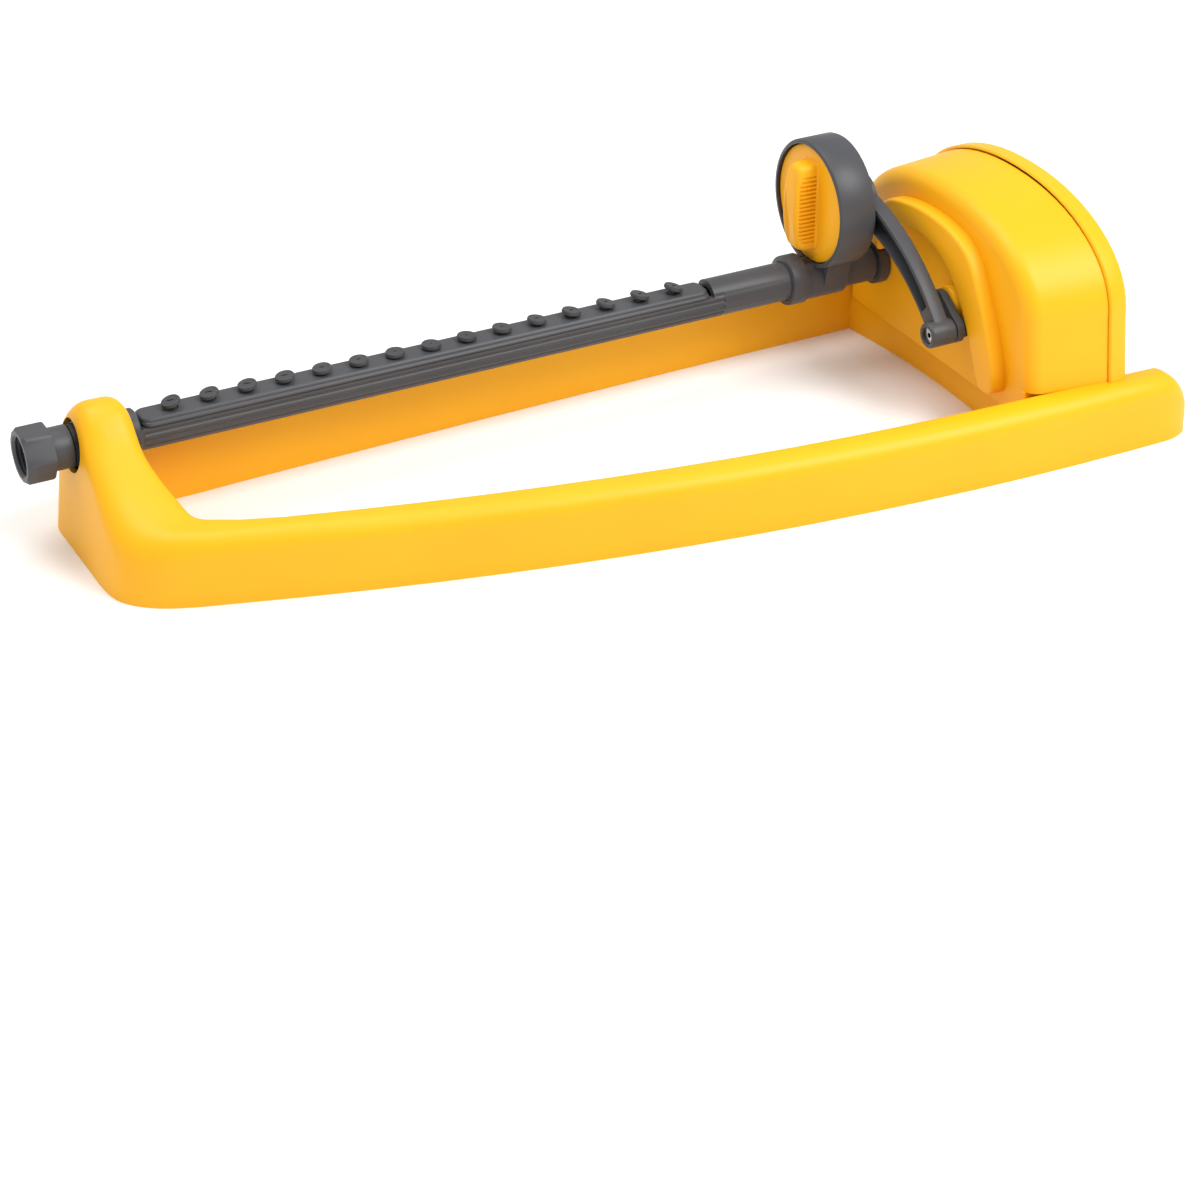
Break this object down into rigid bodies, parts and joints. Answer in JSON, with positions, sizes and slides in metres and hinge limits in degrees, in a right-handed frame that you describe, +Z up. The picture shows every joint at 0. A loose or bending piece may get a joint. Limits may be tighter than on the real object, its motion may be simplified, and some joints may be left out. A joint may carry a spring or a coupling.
{
  "type": "oscillating lawn sprinkler",
  "caption": "Oscillating sprinkler on a sled frame: a water motor rocks a jet bar through a crank and link, and a dial sets the sweep.",
  "frame": {"origin": "on the ground, under the middle of the object's bounding box", "axes": "+X along the spray bar from the hose inlet to the motor, +Y towards the straight runner beside the bar, +Z up"},
  "size_m": [0.5564, 0.203, 0.1249],
  "materials": {
    "yellow_plastic": "satin moulded plastic",
    "grey_plastic": "satin moulded plastic",
    "jet_rubber": "soft satin rubber",
    "seal_rubber": "matt rubber",
    "bright_steel": "stainless, turned",
    "gear_plastic": "acetal, natural"
  },
  "bodies": {
    "root": {"bar_seal": "seal_rubber", "cover_gasket": "seal_rubber", "cover_screw_1": "bright_steel", "cover_screw_2": "bright_steel", "cover_screw_3": "bright_steel", "cover_screw_4": "bright_steel", "deck_screw_1": "bright_steel", "deck_screw_2": "bright_steel", "end_bush": "grey_plastic", "end_seal": "seal_rubber", "gear_plate": "grey_plastic", "hose_washer": "seal_rubber", "inlet_pipe": "grey_plastic", "motor_cover": "yellow_plastic", "motor_housing": "yellow_plastic", "nut_seal": "seal_rubber", "shaft_seal": "seal_rubber", "sled_frame": "yellow_plastic"},
    "spray_bar": {"spray_tube": "grey_plastic", "jet_strip": "grey_plastic", "dial_housing": "grey_plastic", "jet_01": "jet_rubber", "jet_02": "jet_rubber", "jet_03": "jet_rubber", "jet_04": "jet_rubber", "jet_05": "jet_rubber", "jet_06": "jet_rubber", "jet_07": "jet_rubber", "jet_08": "jet_rubber", "jet_09": "jet_rubber", "jet_10": "jet_rubber", "jet_11": "jet_rubber", "jet_12": "jet_rubber", "jet_13": "jet_rubber", "jet_14": "jet_rubber", "jet_15": "jet_rubber"},
    "dial": {"range_dial": "yellow_plastic", "dial_hub": "grey_plastic", "dial_screw": "bright_steel"},
    "link": {"link_arm": "grey_plastic", "link_pin": "bright_steel"},
    "crank_group": {"crank": "grey_plastic", "crank_screw": "bright_steel", "output_shaft": "bright_steel", "output_gear": "gear_plastic"},
    "reduction": {"reduction_gear": "gear_plastic", "reduction_pinion": "gear_plastic", "reduction_axle": "bright_steel"},
    "turbine": {"turbine_wheel": "gear_plastic", "turbine_pinion": "gear_plastic", "turbine_axle": "bright_steel"},
    "nut": {"hose_nut": "grey_plastic"},
    "knob": {"filter_knob": "grey_plastic", "knob_seal": "seal_rubber", "filter_strainer": "gear_plastic"}
  },
  "joints": [
    {"name": "spray_bar_rock", "type": "hinge", "parent": "root", "child": "spray_bar", "pos_m": [-0.069, 0.0555, 0.0515], "axis": [1, 0, 0], "range_deg": [-53.58, 0]},
    {"name": "dial_turn", "type": "hinge", "parent": "spray_bar", "child": "dial", "pos_m": [0.1456, 0.0555, 0.0915], "axis": [1, 0, 0], "range_deg": [-60, 60]},
    {"name": "link_swing", "type": "hinge", "parent": "spray_bar", "child": "link", "pos_m": [0.1642, 0.0475, 0.093], "axis": [1, 0, 0], "range_deg": [0, 39.26]},
    {"name": "crank_turn", "type": "hinge", "parent": "root", "child": "crank_group", "pos_m": [0.1752, -0.0187, 0.0586], "axis": [1, 0, 0], "range_deg": [-194.35, 0]},
    {"name": "reduction_turn", "type": "hinge", "parent": "root", "child": "reduction", "pos_m": [0.203, -0.04746, 0.05353], "axis": [1, 0, 0], "range_deg": [0, 583.02]},
    {"name": "turbine_turn", "type": "hinge", "parent": "root", "child": "turbine", "pos_m": [0.215, -0.03747, 0.08097], "axis": [1, 0, 0], "range_deg": [-1749.04, 0]},
    {"name": "hose_nut_swivel", "type": "hinge", "parent": "root", "child": "nut", "pos_m": [-0.2783, 0.0555, 0.0515], "axis": [1, 0, 0], "continuous": true},
    {"name": "filter_knob_turn", "type": "hinge", "parent": "root", "child": "knob", "pos_m": [0.2453, 0, 0.066], "axis": [1, 0, 0], "range_deg": [0, 90]}
  ],
  "couplings": [
    {"joint": "link_swing", "follows": "spray_bar_rock", "ratio": -0.73245},
    {"joint": "crank_turn", "follows": "spray_bar_rock", "ratio": 3.6268},
    {"joint": "reduction_turn", "follows": "spray_bar_rock", "ratio": -10.88},
    {"joint": "turbine_turn", "follows": "spray_bar_rock", "ratio": 32.641}
  ]
}
